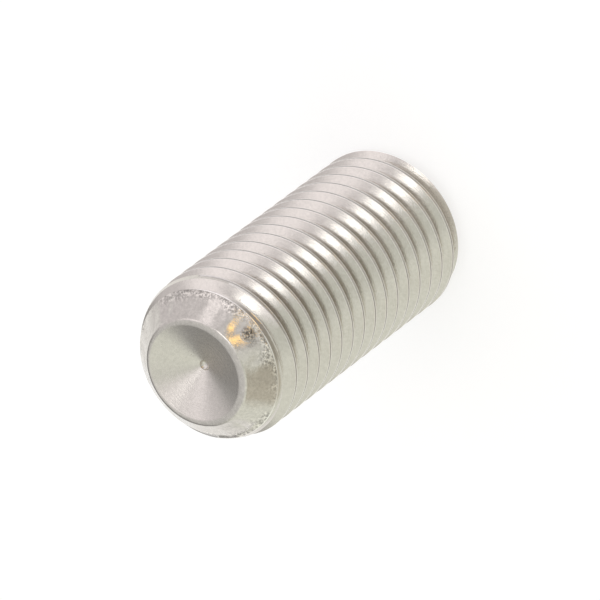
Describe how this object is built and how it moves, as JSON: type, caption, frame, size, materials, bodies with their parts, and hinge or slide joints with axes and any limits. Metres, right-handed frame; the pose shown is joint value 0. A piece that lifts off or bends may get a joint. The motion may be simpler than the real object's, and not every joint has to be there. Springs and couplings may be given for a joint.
{
  "type": "cup point set screw",
  "caption": "Headless threaded rod that locks a hub or collar on a shaft: hexagon socket in one end to drive it, shallow conical cup in the other end to bite.",
  "frame": {"origin": "centre of the flat ring round the hexagon socket, where the screw stands", "axes": "+Z along the screw's own axis, from the socket end up to the cup point; two corners of the hexagon socket lie on X"},
  "size_m": [0.016, 0.016, 0.035],
  "materials": {
    "steel": "bright satin stainless steel with fine tool marks"
  },
  "bodies": {
    "root": {"set_screw": "steel"}
  },
  "joints": []
}
